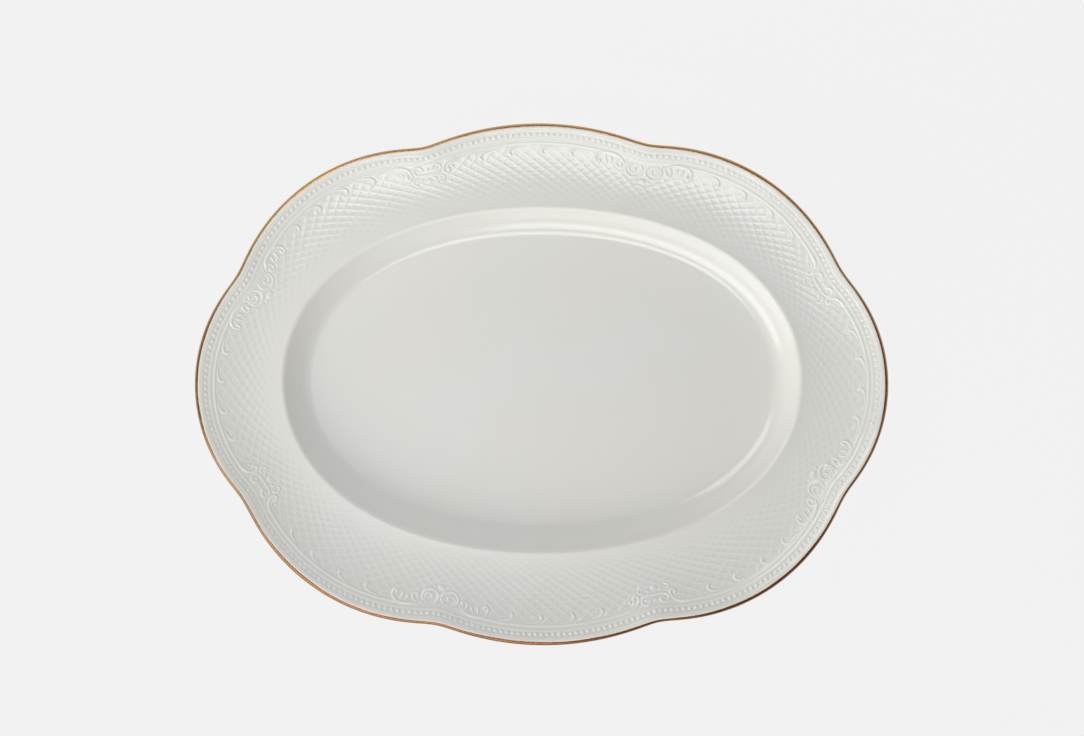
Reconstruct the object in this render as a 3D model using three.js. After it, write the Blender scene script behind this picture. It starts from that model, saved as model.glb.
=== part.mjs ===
// China serving platter: a lobed oval dish of hard-paste porcelain with a fired gold lip.
// Millimetres, +Z up. The origin is on the foot's standing plane, under the middle of the lip, and
// +X is the long axis.
//
// The platter is made the way a pottery makes one: the dish is pressed over a mould in one piece,
// an oval coil of clay is luted under it as a foot, and a line of gold is fired onto the lip.
import { BufferAttribute, Group, LatheGeometry, Mesh, MeshStandardMaterial, Path, Vector2 } from 'three';

// Overall sizes, over the gold line.
const HALF_LENGTH = 180;          // centre to lip on the long axis
const HALF_WIDTH = 135.8;         // centre to lip on the short axis
const VERGE_HALF_LENGTH = 136.2;  // the verge is the edge where the rim turns down into the well
const VERGE_HALF_WIDTH = 91;
const WELL_SHIFT = 2;             // how far the well and foot sit off the middle, towards +Y
const OVAL_FULLNESS = 0.02;       // how far the well's oval swells past an ellipse on the diagonals

// Heights above the table.
const FOOT_HEIGHT = 5.5;          // standing plane to the underside of the floor
const FLOOR_THICKNESS = 5;
const FLOOR_TOP = FOOT_HEIGHT + FLOOR_THICKNESS;

// Section of the well wall, from the flat floor outwards.
const WALL_ANGLE = radians(55);   // steepest slope of the wall
const WALL_FOOT_RADIUS = 7.8;     // with the run below, it sets the wall's height and width
const WALL_FOOT_EASE = 2;         // the bend starts this much sooner and runs up the whole wall
const WALL_RUN = 5.2;             // how much further the wall runs in plan
const VERGE_RADIUS = 2.8;         // rounded edge from the wall onto the rim

// Section of the rim.
const RIM_START_ANGLE = radians(-3);   // the rim dips a little before it rises
const RIM_RISE = 8;               // verge to lip
const LIP_RADIUS = 1.8;           // the lip is a full round
const WALL_THICKNESS = 5;

// Foot ring, in stations on the long axis.
const FOOT_OUTER = 119;
const FOOT_INNER = 110.5;
const FOOT_STAND_OUTER = 116.5;
const FOOT_STAND_INNER = 112.5;

// Gold line on the lip.
const GILT_CLEARANCE = 0.05;      // keeps the gold's facets from cutting the glaze's
const GILT_THICKNESS = 0.25;
const GILT_BUILD = GILT_CLEARANCE + GILT_THICKNESS;
const GILT_START_ANGLE = radians(90);    // on the lip's round, from the rim's upper face
const GILT_END_ANGLE = radians(-45);     // to its lower face

// Facets.
const AROUND = 128;               // divisions round the platter
const BEND_STEPS = 3;             // divisions of each bend in the section
const LIP_STEP = radians(45);     // division of the lip's round

// The lip in plan is four lobes, repeated by half a turn. Each lobe is an arc between two notches:
// x and y are the notch that it starts from, and crest is the arc's height over its chord.
const LOBES = [
  { x: 157.4, y: -56.6, crest: 23.5 },   // end lobe, over +X
  { x: 155.5, y: 58.5, crest: 19.1 },    // shoulder lobe, between +X and +Y
  { x: 55.3, y: 124.2, crest: 12.3 },    // side lobe, over +Y
  { x: -61.6, y: 122.6, crest: 19.2 },   // shoulder lobe, between +Y and -X
];
const NOTCH_SOFTNESS = 1.4;       // how far the arcs melt into each other at a notch

function radians(degrees) {
  return degrees * Math.PI / 180;
}

// The circle that each lobe's arc lies on, for all eight lobes. The crown is the arc's middle.
function lobeCircles() {
  const notches = LOBES.map(({ x, y }) => new Vector2(x, y));
  const halfTurn = notches.map((notch) => notch.clone().negate());
  const ring = [...notches, ...halfTurn];
  return ring.map((start, index) => {
    const end = ring[(index + 1) % ring.length];
    const { crest } = LOBES[index % LOBES.length];
    const chord = end.clone().sub(start);
    const halfChord = chord.length() / 2;
    const radius = (halfChord * halfChord + crest * crest) / (2 * crest);
    const outward = new Vector2(chord.y, -chord.x).normalize();
    const middle = start.clone().add(end).multiplyScalar(0.5);
    const crown = middle.clone().addScaledVector(outward, crest);
    const centre = crown.clone().addScaledVector(outward, -radius);
    return { centre, crown, radius };
  });
}

const CIRCLES = lobeCircles();

// Distance from the centre to the lip along a direction: the furthest of the circles whose lobes
// face that way, with a soft maximum so that neighbouring arcs flow into each other at the notches.
function lipDistance(direction) {
  const reaches = CIRCLES.map(({ centre, crown, radius }) => {
    const along = centre.dot(direction);
    const inside = radius * radius - centre.lengthSq() + along * along;
    const faces = crown.dot(direction) > 0;
    return faces && inside > 0 ? along + Math.sqrt(inside) : 0;
  });
  const furthest = Math.max(...reaches);
  const total = reaches.reduce((sum, reach) => sum + Math.exp((reach - furthest) / NOTCH_SOFTNESS), 0);
  return furthest + NOTCH_SOFTNESS * Math.log(total);
}

// A point of an oval that is a little fuller than an ellipse between its axes.
function ovalPoint(halfLength, halfWidth, angle) {
  const swell = 1 + OVAL_FULLNESS * Math.sin(2 * angle) ** 2;
  return new Vector2(halfLength * Math.cos(angle), halfWidth * Math.sin(angle)).multiplyScalar(swell);
}

// Where a station of the section lies in plan. Stations are distances from the centre on the long
// axis. Inside the verge they are ovals a constant distance apart; outside it they pass evenly from
// the verge's oval to the lobed lip.
function planPoint(station, angle) {
  const middle = new Vector2(0, WELL_SHIFT);
  if (station < 1e-6) {
    return middle;
  }
  const inset = VERGE_HALF_LENGTH - station;
  if (inset >= 0) {
    return ovalPoint(station, VERGE_HALF_WIDTH - inset, angle).add(middle);
  }
  const verge = ovalPoint(VERGE_HALF_LENGTH, VERGE_HALF_WIDTH, angle).add(middle);
  const direction = new Vector2(HALF_LENGTH * Math.cos(angle), HALF_WIDTH * Math.sin(angle)).normalize();
  const lip = direction.clone().multiplyScalar(lipDistance(direction));
  return verge.lerp(lip, -inset / (HALF_LENGTH - VERGE_HALF_LENGTH));
}

// Carries a section round the platter: a lathe turns it, and then every vertex moves from its place
// on the circle to its place in plan.
function turnSection(points) {
  const geometry = new LatheGeometry(points, AROUND);
  const position = geometry.getAttribute('position');
  const placed = new Float32Array(position.count * 3);
  for (let i = 0; i < position.count; i += 1) {
    const ring = Math.floor(i / points.length) % AROUND;
    const point = points[i % points.length];
    const plan = planPoint(point.x, ring / AROUND * 2 * Math.PI);
    placed.set([plan.x, plan.y, point.y], i * 3);
  }
  geometry.setAttribute('position', new BufferAttribute(placed, 3));
  geometry.computeVertexNormals();
  return geometry;
}

// The lip's round: its centre, and the slope that the rim has where it meets it.
function lipRound() {
  const vergeTop = vergeHeight();
  const bend = new Vector2((VERGE_HALF_LENGTH + HALF_LENGTH) / 2, vergeTop);
  bend.y += (bend.x - VERGE_HALF_LENGTH) * Math.tan(RIM_START_ANGLE);
  const centre = new Vector2(HALF_LENGTH - GILT_BUILD - LIP_RADIUS, vergeTop + RIM_RISE - LIP_RADIUS);
  const slope = Math.atan2(centre.y - bend.y, centre.x - bend.x);
  return { bend, centre, slope };
}

// Height of the verge: the floor plus the rises of the hollow bend, the wall and the rounded edge.
function vergeHeight() {
  const hollow = WALL_FOOT_RADIUS * (1 - Math.cos(WALL_ANGLE));
  const wall = WALL_RUN * Math.tan(WALL_ANGLE);
  const edge = VERGE_RADIUS * (Math.cos(RIM_START_ANGLE) - Math.cos(WALL_ANGLE));
  return FLOOR_TOP + hollow + wall + edge;
}

// Point on the lip's round, at an angle from the rim's slope line, at a radius from its centre.
function lipPoint(angle, radius) {
  const { centre, slope } = lipRound();
  return new Vector2(
    centre.x + radius * Math.cos(angle + slope),
    centre.y + radius * Math.sin(angle + slope),
  );
}

// Angles of the divisions of the lip's round, from its upper end to its lower end.
function lipAngles(from, to) {
  const count = Math.round((from - to) / LIP_STEP);
  return Array.from({ length: count + 1 }, (_, index) => from - index * LIP_STEP);
}

// Upper face of the dish, from the centre to the start of the lip's round.
function upperFace() {
  const wallFootEnd = WALL_FOOT_RADIUS * Math.sin(WALL_ANGLE);
  const edgeRun = VERGE_RADIUS * (Math.sin(WALL_ANGLE) - Math.sin(RIM_START_ANGLE));
  const floorEdge = VERGE_HALF_LENGTH - edgeRun - WALL_RUN - wallFootEnd;
  const path = new Path();
  path.moveTo(0, FLOOR_TOP);
  path.lineTo(floorEdge - WALL_FOOT_EASE, FLOOR_TOP);
  const hollow = WALL_FOOT_RADIUS * (1 - Math.cos(WALL_ANGLE));
  const wallEndHeight = FLOOR_TOP + hollow + WALL_RUN * Math.tan(WALL_ANGLE);
  path.quadraticCurveTo(
    floorEdge + WALL_FOOT_RADIUS * Math.tan(WALL_ANGLE / 2), FLOOR_TOP,
    floorEdge + wallFootEnd + WALL_RUN, wallEndHeight,
  );
  path.absarc(
    VERGE_HALF_LENGTH + VERGE_RADIUS * Math.sin(RIM_START_ANGLE),
    vergeHeight() - VERGE_RADIUS * Math.cos(RIM_START_ANGLE), VERGE_RADIUS,
    WALL_ANGLE + Math.PI / 2, RIM_START_ANGLE + Math.PI / 2, true,
  );
  const { bend } = lipRound();
  const end = lipPoint(radians(90), LIP_RADIUS);
  path.quadraticCurveTo(bend.x, bend.y, end.x, end.y);
  return path.getPoints(BEND_STEPS);
}

// Lower face of the dish, from the end of the lip's round back to the centre: the upper face again,
// one wall thickness below it.
function lowerFace() {
  const { bend } = lipRound();
  const start = lipPoint(radians(-90), LIP_RADIUS);
  const underVerge = new Vector2(VERGE_HALF_LENGTH + WALL_THICKNESS / 2, vergeHeight() - WALL_THICKNESS);
  const path = new Path();
  path.moveTo(start.x, start.y);
  path.quadraticCurveTo(bend.x, bend.y - WALL_THICKNESS, underVerge.x, underVerge.y);
  path.quadraticCurveTo(
    underVerge.x - WALL_RUN / 2, underVerge.y,
    underVerge.x - WALL_RUN, underVerge.y - WALL_RUN,
  );
  path.quadraticCurveTo(FOOT_OUTER + WALL_THICKNESS, FOOT_HEIGHT, FOOT_OUTER, FOOT_HEIGHT);
  path.lineTo(0, FOOT_HEIGHT);
  return path.getPoints(BEND_STEPS);
}

// Drops points that repeat their neighbour, which are left where two stretches of a path meet.
function withoutRepeats(points) {
  return points.filter((point, index) => index === 0 || point.distanceTo(points[index - 1]) > 1e-3);
}

function ceramic(color, roughness) {
  return new MeshStandardMaterial({ color, roughness, metalness: 0 });
}

// The dish: floor, well wall, rim and lip in one fired body.
function makePlatterBody() {
  const round = lipAngles(radians(90), radians(-90)).map((angle) => lipPoint(angle, LIP_RADIUS));
  const section = withoutRepeats([...upperFace(), ...round, ...lowerFace()]).reverse();
  const mesh = new Mesh(turnSection(section), ceramic(0xe9e8e2, 0.12));
  mesh.name = 'platter_body';
  return mesh;
}

// The gold line: a thin skin round the lip.
function makeGiltLipBand() {
  const angles = lipAngles(GILT_START_ANGLE, GILT_END_ANGLE);
  const inner = angles.map((angle) => lipPoint(angle, LIP_RADIUS + GILT_CLEARANCE));
  const outer = angles.map((angle) => lipPoint(angle, LIP_RADIUS + GILT_BUILD)).reverse();
  const section = [...inner, ...outer, inner[0]];
  const material = new MeshStandardMaterial({ color: 0xb98a4e, roughness: 0.28, metalness: 1 });
  const mesh = new Mesh(turnSection(section), material);
  mesh.name = 'gilt_lip_band';
  return mesh;
}

// The foot: an oval ring with sloping sides and a bare standing face, luted under the floor.
function makeFootRing() {
  const section = [
    new Vector2(FOOT_OUTER, FOOT_HEIGHT),
    new Vector2(FOOT_INNER, FOOT_HEIGHT),
    new Vector2(FOOT_INNER + 0.6, 1),
    new Vector2(FOOT_STAND_INNER, 0),
    new Vector2(FOOT_STAND_OUTER, 0),
    new Vector2(FOOT_OUTER - 0.8, 1),
    new Vector2(FOOT_OUTER, FOOT_HEIGHT),
  ];
  const mesh = new Mesh(turnSection(section), ceramic(0xe6e0d4, 0.8));
  mesh.name = 'foot_ring';
  return mesh;
}

const platter = new Group();
platter.add(makePlatterBody(), makeGiltLipBand(), makeFootRing());

export default platter;
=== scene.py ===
"""China serving platter: a lobed oval dish of glazed porcelain with a moulded border and a gold lip.

Laid out as a Blender add-on and run as a script. Lengths in the shape functions are millimetres,
and seat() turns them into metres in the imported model's frame.
"""
import math

import bpy
import numpy as np
from bpy.props import FloatProperty, PointerProperty, StringProperty
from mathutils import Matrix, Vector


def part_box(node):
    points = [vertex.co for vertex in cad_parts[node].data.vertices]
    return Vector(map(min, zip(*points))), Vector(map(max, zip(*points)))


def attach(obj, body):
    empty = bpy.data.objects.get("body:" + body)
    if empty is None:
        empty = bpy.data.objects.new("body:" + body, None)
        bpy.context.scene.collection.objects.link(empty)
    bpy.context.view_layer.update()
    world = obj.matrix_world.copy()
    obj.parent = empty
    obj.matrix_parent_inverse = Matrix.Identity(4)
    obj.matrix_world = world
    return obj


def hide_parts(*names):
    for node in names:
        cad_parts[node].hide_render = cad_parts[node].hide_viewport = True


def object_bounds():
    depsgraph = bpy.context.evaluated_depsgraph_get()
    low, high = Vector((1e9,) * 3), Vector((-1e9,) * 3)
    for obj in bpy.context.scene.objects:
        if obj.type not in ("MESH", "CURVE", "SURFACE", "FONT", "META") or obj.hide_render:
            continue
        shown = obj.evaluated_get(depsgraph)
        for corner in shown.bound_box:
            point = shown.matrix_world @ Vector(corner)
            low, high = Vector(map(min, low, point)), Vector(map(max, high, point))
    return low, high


bl_info = {
    "name": "China serving platter",
    "version": (1, 0, 0),
    "blender": (4, 5, 0),
    "location": "View3D > Sidebar > Platter",
    "description": "Builds a lobed porcelain serving platter with a moulded border and a gold lip",
    "category": "Add Mesh",
}

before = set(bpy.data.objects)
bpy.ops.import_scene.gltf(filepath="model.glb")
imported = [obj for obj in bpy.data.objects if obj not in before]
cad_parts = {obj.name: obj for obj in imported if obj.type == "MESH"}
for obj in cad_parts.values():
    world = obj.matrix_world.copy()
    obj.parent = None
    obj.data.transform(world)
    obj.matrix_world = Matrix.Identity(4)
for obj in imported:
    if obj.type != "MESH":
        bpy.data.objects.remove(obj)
CAD_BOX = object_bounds()
LIP_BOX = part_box("gilt_lip_band")
FOOT_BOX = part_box("foot_ring")

MM = 0.001

# ---- Nominal sizes of the platter, in millimetres
HALF_LENGTH = 180.0
HALF_WIDTH = 135.8
VERGE_HALF_LENGTH = 136.2
VERGE_HALF_WIDTH = 91.0
WELL_SHIFT = 2.0                # how far the well and foot sit off the middle, towards +Y
OVAL_FULLNESS = 0.02

FOOT_HEIGHT = 5.5
FLOOR_TOP = 10.5
FLOOR_CROWN = 0.25              # the floor's middle lifts a little in the kiln

WALL_ANGLE = math.radians(55)
WALL_FOOT_RADIUS = 7.8
WALL_FOOT_EASE = 2.0            # the bend starts this much sooner and runs up the whole wall
WALL_RUN = 5.2                  # what the wall's steepest stretch adds to its width
VERGE_RADIUS = 2.8
RIM_START_ANGLE = math.radians(-3)    # the rim dips a little before it rises
RIM_RISE = 8.0
LIP_CENTRE_INSET = 2.1
LIP_DROP = 1.8                  # the lip's centre lies this far under the rim's full rise
GLAZE_LIP_RADIUS = 2.02
GOLD_FILM = 0.07
GOLD_CLEARANCE = 0.01
WALL_THICKNESS = 5.0

FOOT_OUTER = 119.0
FOOT_INNER = 110.5
FOOT_STAND = 114.5              # a station on the standing face

SPLIT = 136.3                   # the rim pieces and the well meet at this station

# The lip is four lobes, repeated by half a turn. Each is an arc from one notch to the next.
NOTCHES = np.array([[157.4, -56.6], [155.5, 58.5], [55.3, 124.2], [-61.6, 122.6]])
CRESTS = np.array([23.5, 19.1, 12.3, 19.2])
LOBE_COUNT = 8
NOTCH_SOFTNESS = 1.4            # how far the lip's arcs melt into each other
BORDER_SOFTNESS = 0.8           # the border keeps a crisper corner at a notch than the lip does
FAN_REACH = 6.0                 # how far from a notch the border's ornament fans out

# Border, as depths inward from the lip.
EDGE_RULE = (3.9, 0.6, 0.05)    # depth, half width and height
CHANNEL = (4.3, 7.0, 0.14)      # from, to and how deep
BEAD_DEPTH = 5.65
BEADS_PER_LOBE = 39
RULE = (7.8, 0.8, 0.08)
GROOVE = (8.8, 0.8, -0.06)
CORD_DEPTH = 10.0
CORD_HALF_WIDTH = 0.6
ORNAMENT_BAND = (8.5, 21.0)     # the depths between which strokes are looked for
STROKE_FULLNESS = 1.3           # how much the glaze thickens the ornament's strokes
FIELD_START = 11.0
FIELD_SINK = 0.10

LATTICE_RIBS = 136              # ribs of each slant, round the whole rim
LATTICE_BUNCHING = 0.126
LATTICE_SLANT = (0.3198, 0.0021)
LATTICE_START = 1.2             # the ribs are laid out from this far inside the verge
LATTICE_FADE = (1.0, 14.0, 0.25)    # from, to, and the share of their height they start with

COLUMNS = 3120                  # ten for each bead
WELL_COLUMNS = 624
GOLD_COLUMNS = 1560
FIELD_END = 157.0               # the rows lie closer from this station out
FIELD_ROWS = 46
BORDER_ROWS = 70
LIP_ROWS = 13
BACK_ROWS = 14

# Painted reflection: by place, the gold's colour is made browner towards the near side and paler
# towards the far side. This stands in for the darker and brighter surroundings that it mirrors.
GOLD_PAINTED_REFLECTION = (0.96, -5.47, 0.0)  # how fast the gold turns browner along each axis, per metre
FLOOR_GLOW = 0.97               # the share of the stage floor's light that is its own
CAMERA_AIM = (0.0002, 0.009, -0.002)    # from the middle of the lip, in metres


# ---- Plan
def lobe_circles():
    """Each lobe's circle. Through two notches and a crest of height s over half a chord h passes
    the circle of radius (h^2 + s^2) / 2s, whose centre lies that far inward from the crest."""
    notch = np.vstack([NOTCHES, -NOTCHES])
    crest = np.tile(CRESTS, 2)
    chord = np.roll(notch, -1, axis=0) - notch
    half = np.hypot(chord[:, 0], chord[:, 1]) / 2
    radius = (half ** 2 + crest ** 2) / (2 * crest)
    outward = np.stack([chord[:, 1], -chord[:, 0]], 1) / (2 * half)[:, None]
    crown = notch + chord / 2 + outward * crest[:, None]
    centre = crown - outward * radius[:, None]
    half_angle = np.arcsin(half / radius)
    heading = np.arctan2(chord[:, 1], chord[:, 0])
    turn = (heading - np.roll(heading, 1)) % (2 * math.pi)
    fold = (np.roll(half_angle, 1) + half_angle - turn) / 2
    return {
        "radius": radius,
        "outward": outward,
        "crown": crown,
        "centre": centre,
        "half_angle": half_angle,
        "fold_start": fold,
        "fold_end": np.roll(fold, -1),
    }


LOBES = lobe_circles()


def soft_max(values, softness):
    """The largest along the last axis, rounded over where two are nearly equal: the logarithm of
    the sum of exponentials."""
    top = values.max(-1)
    total = np.exp((values - top[..., None]) / softness).sum(-1)
    return top + softness * np.log(total)


def oval_point(half_length, half_width, angle):
    """An ellipse's point, pushed out by a small share that is greatest on the diagonals."""
    swell = 1 + OVAL_FULLNESS * np.sin(2 * angle) ** 2
    return np.stack([half_length * np.cos(angle) * swell, half_width * np.sin(angle) * swell], -1)


def lip_point(angle):
    """The lip along the direction of an ellipse's point at angle: the furthest lobe circle that
    the ray from the centre reaches, softened at the notches."""
    ray = np.stack([HALF_LENGTH * np.cos(angle), HALF_WIDTH * np.sin(angle)], -1)
    ray /= np.linalg.norm(ray, axis=-1, keepdims=True)
    along = ray @ LOBES["centre"].T
    inside = LOBES["radius"] ** 2 - (LOBES["centre"] ** 2).sum(1) + along ** 2
    reached = (ray @ LOBES["crown"].T > 0) & (inside > 0)
    reach = np.where(reached, along + np.sqrt(np.maximum(inside, 0)), 0)
    return ray * soft_max(reach, NOTCH_SOFTNESS)[..., None]


def plan(station, angle):
    """Plan points of stations (rows, or one for each row and column) at angles (columns). Stations
    are distances along the long axis. Inside the verge they are ovals an even distance apart, and
    outside it they pass in even shares from the verge's oval to the lobed lip."""
    station = np.asarray(station, float).reshape(len(station), -1)
    angle = np.asarray(angle, float)[None, :]
    inset = np.maximum(VERGE_HALF_LENGTH - station, 0)
    inner = oval_point(VERGE_HALF_LENGTH - inset, VERGE_HALF_WIDTH - inset, angle)
    inner = inner + np.array([0.0, WELL_SHIFT])
    share = np.maximum(station - VERGE_HALF_LENGTH, 0) / (HALF_LENGTH - VERGE_HALF_LENGTH)
    return inner + (lip_point(angle) - inner) * share[..., None]


def seat(plan_points, height):
    """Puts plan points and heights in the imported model's frame, in metres: each axis is fitted to
    the lip's own box there, and the height starts at the foot's lowest face."""
    low, high = LIP_BOX
    nominal_top = lip_section()["centre"][1] + LIP_CENTRE_INSET
    fit = np.array([
        (high.x - low.x) / (2 * HALF_LENGTH),
        (high.y - low.y) / (2 * HALF_WIDTH),
        (high.z - FOOT_BOX[0].z) / nominal_top,
    ])
    origin = np.array([(high.x + low.x) / 2, (high.y + low.y) / 2, FOOT_BOX[0].z])
    points = np.concatenate([plan_points, height[..., None]], -1)
    return origin + points * fit


# ---- Section
def quadratic(start, control, end, count=40):
    """Points of a quadratic curve: the two ends and the control, weighted (1-t)^2, t^2, 2t(1-t)."""
    t = np.linspace(0, 1, count)[:, None]
    start, control, end = (np.array(p, float) for p in (start, control, end))
    return (1 - t) ** 2 * start + 2 * t * (1 - t) * control + t ** 2 * end


def arc(centre, radius, start, end, count=24):
    """Points on a circle between two angles."""
    turn = np.linspace(start, end, count)
    return np.array(centre) + radius * np.stack([np.cos(turn), np.sin(turn)], 1)


def verge_height():
    """The floor, plus the rises that a round bend, a straight run and the rounded edge would give.
    The wall is drawn as one curve between the same two heights."""
    hollow = WALL_FOOT_RADIUS * (1 - math.cos(WALL_ANGLE))
    edge = VERGE_RADIUS * (math.cos(RIM_START_ANGLE) - math.cos(WALL_ANGLE))
    return FLOOR_TOP + hollow + WALL_RUN * math.tan(WALL_ANGLE) + edge


def lip_section():
    """The rim curve's control point, the lip round's centre, and the rim's slope where they meet."""
    top = verge_height()
    bend_x = (VERGE_HALF_LENGTH + HALF_LENGTH) / 2
    bend = (bend_x, top + (bend_x - VERGE_HALF_LENGTH) * math.tan(RIM_START_ANGLE))
    centre = (HALF_LENGTH - LIP_CENTRE_INSET, top + RIM_RISE - LIP_DROP)
    slope = math.atan2(centre[1] - bend[1], centre[0] - bend[0])
    return {"bend": bend, "centre": centre, "slope": slope}


def round_point(angle, radius):
    """A point on the lip's round, at an angle from the rim's slope line."""
    lip = lip_section()
    turned = np.asarray(angle) + lip["slope"]
    x = lip["centre"][0] + radius * np.cos(turned)
    return np.stack([x, lip["centre"][1] + radius * np.sin(turned)], -1)


def upper_section():
    """Upper face from the floor's edge to the lip's round: a wall that bends up all the way, the
    verge's round and the rim's rising curve."""
    edge_run = VERGE_RADIUS * (math.sin(WALL_ANGLE) - math.sin(RIM_START_ANGLE))
    floor_edge = VERGE_HALF_LENGTH - edge_run - WALL_RUN - WALL_FOOT_RADIUS * math.sin(WALL_ANGLE)
    verge_centre = (VERGE_HALF_LENGTH + VERGE_RADIUS * math.sin(RIM_START_ANGLE),
                    verge_height() - VERGE_RADIUS * math.cos(RIM_START_ANGLE))
    verge = arc(verge_centre, VERGE_RADIUS, WALL_ANGLE + math.pi / 2, RIM_START_ANGLE + math.pi / 2)
    end = round_point(math.pi / 2, GLAZE_LIP_RADIUS)
    rim = quadratic(verge[-1], lip_section()["bend"], end, 120)
    corner = (floor_edge + WALL_FOOT_RADIUS * math.tan(WALL_ANGLE / 2), FLOOR_TOP)
    wall = quadratic((floor_edge - WALL_FOOT_EASE, FLOOR_TOP), corner, verge[0], 60)
    return np.vstack([wall, verge[1:], rim[1:]])


def lower_section():
    """Lower face from the foot out to the lip's round: the floor's turn, the wall and the rim."""
    bend = lip_section()["bend"]
    verge = (VERGE_HALF_LENGTH + WALL_THICKNESS / 2, verge_height() - WALL_THICKNESS)
    wall = (verge[0] - WALL_RUN, verge[1] - WALL_RUN)
    turn = quadratic((FOOT_OUTER, FOOT_HEIGHT), (FOOT_OUTER + WALL_THICKNESS, FOOT_HEIGHT), wall)
    shoulder = quadratic(wall, (verge[0] - WALL_RUN / 2, verge[1]), verge)
    end = round_point(-math.pi / 2, GLAZE_LIP_RADIUS)
    rim = quadratic(verge, (bend[0], bend[1] - WALL_THICKNESS), end, 60)
    return np.vstack([turn, shoulder[1:], rim[1:]])


UPPER = upper_section()
LOWER = lower_section()


def upper_height(station):
    return np.interp(station, UPPER[:, 0], UPPER[:, 1])


def lower_height(station):
    return np.interp(station, LOWER[:, 0], LOWER[:, 1])


# ---- Ornament, drawn as strokes. A stroke's place is (run, depth): the run along the lip from a
# notch, and the depth inward from the lip.
def stroke(points, *widths, steps=7):
    """A curve through the points (each stretch is a Catmull-Rom cubic, which leaves a point in
    the direction of the line between its neighbours), with half widths spread evenly along it."""
    points = np.array(points, float)
    padded = np.vstack([2 * points[0] - points[1], points, 2 * points[-1] - points[-2]])
    p0, p1, p2, p3 = padded[:-3], padded[1:-2], padded[2:-1], padded[3:]
    t = (np.arange(steps) / steps)[:, None, None]
    cubic = 0.5 * (2 * p1 + (p2 - p0) * t + (2 * p0 - 5 * p1 + 4 * p2 - p3) * t ** 2
                   + (3 * p1 - p0 - 3 * p2 + p3) * t ** 3)
    line = np.vstack([cubic.transpose(1, 0, 2).reshape(-1, 2), points[-1:]])
    place = np.linspace(0, len(widths) - 1, len(line))
    width = STROKE_FULLNESS * np.interp(place, np.arange(len(widths)), widths)
    return np.column_stack([line[:-1], line[1:], width[:-1], width[1:]])


def pearl(run, depth, radius):
    """A round bead: a stroke too short to see."""
    return np.array([[run, depth, run + 0.01, depth, radius, radius]])


def curl(run, depth, radius, start, end, *widths):
    """A stroke round a centre, from one angle to another in degrees, its radius closing evenly to
    a third. Angles turn from the run towards the depth."""
    turn = np.radians(np.linspace(start, end, 14))
    reach = radius * np.linspace(1, 1 / 3, 14)
    return stroke(np.column_stack([run + reach * np.cos(turn), depth + reach * np.sin(turn)]),
                  *widths, steps=3)


def volute_ornament():
    """Half of the ornament at every other notch: the cord turns in as a volute beside a small
    tied knot of curls with drops under it."""
    return [
        stroke([(14.5, 10.0), (12.2, 10.1), (9.6, 10.9), (7.6, 12.4), (6.7, 14.2), (7.0, 15.6),
                (8.3, 16.1), (9.4, 15.3), (9.3, 14.2)], 1.0, 0.9, 0.85, 0.85, 1.0),
        stroke([(9.2, 14.1), (9.6, 13.0), (10.8, 12.1), (12.8, 11.8), (15.0, 12.0)],
               0.6, 0.6, 0.5, 0.3),
        pearl(11.8, 13.9, 1.1),
        stroke([(1.9, 11.2), (2.6, 10.2), (3.9, 9.9), (5.3, 10.7), (5.8, 12.2), (5.0, 13.6),
                (3.0, 14.1), (0.0, 13.8)], 0.85, 0.75, 0.7, 0.7, 0.75),
        stroke([(3.1, 12.0), (3.8, 12.0)], 0.55, 0.6),
        pearl(0.0, 11.0, 1.0),
        stroke([(0.0, 15.9), (0.0, 17.8)], 0.5, 0.8, 0.45),
        stroke([(1.4, 15.7), (2.4, 17.1)], 0.45, 0.75, 0.4),
        stroke([(3.6, 15.6), (5.2, 16.2), (5.9, 17.6), (5.2, 18.9), (3.9, 19.1)],
               0.5, 0.7, 0.65, 0.6, 0.75),
    ]


def shell_ornament():
    """Half of the ornament at the notches between: a round C-scroll drawn with a double line, a
    pearl, and a long flat scroll with slanting strokes under the cord."""
    return [
        curl(4.0, 13.9, 2.9, -60, 200, 0.55, 0.6, 0.6, 0.7),
        stroke([(1.6, 11.0), (0.6, 12.6), (0.4, 14.6), (1.3, 16.6), (3.0, 17.8), (5.2, 17.8),
                (7.0, 16.5), (7.8, 14.4), (7.4, 12.2)], 0.5, 0.65, 0.75, 0.75, 0.6),
        pearl(3.0, 11.2, 0.8),
        pearl(8.4, 11.1, 0.95),
        stroke([(0.0, 17.9), (0.0, 19.6)], 0.6, 0.85, 0.45),
        stroke([(1.4, 18.8), (2.1, 19.9)], 0.45, 0.6, 0.3),
        curl(11.3, 14.2, 2.6, -95, 190, 0.8, 0.7, 0.7, 0.9),
        stroke([(9.6, 12.4), (11.3, 11.2), (13.8, 10.3), (17.0, 10.0), (20.5, 10.1), (23.4, 11.0),
                (25.2, 12.8), (25.4, 14.8), (24.4, 16.2), (23.1, 15.9), (23.0, 14.9)],
               0.7, 0.85, 0.95, 0.95, 0.85, 0.8, 1.0),
        stroke([(17.2, 11.8), (16.4, 12.9), (15.9, 14.2)], 0.6, 0.85, 0.5),
        stroke([(20.2, 12.0), (19.7, 13.6), (18.7, 15.4)], 0.6, 0.9, 0.55),
    ]


def comma_ornament(run):
    """A small leaf: a knob that hooks up to the cord and trails off along it."""
    return [
        stroke([(run + 0.7, 15.2), (run - 0.2, 14.2), (run + 0.3, 13.0), (run + 1.9, 12.1),
                (run + 4.6, 11.6), (run + 9.0, 11.2)], 0.85, 1.05, 0.95, 0.8, 0.6, 0.25),
    ]


COMMAS = (0.235, 0.375, 0.53, 0.67)    # shares of a lobe, from the notch with the volutes


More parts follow.
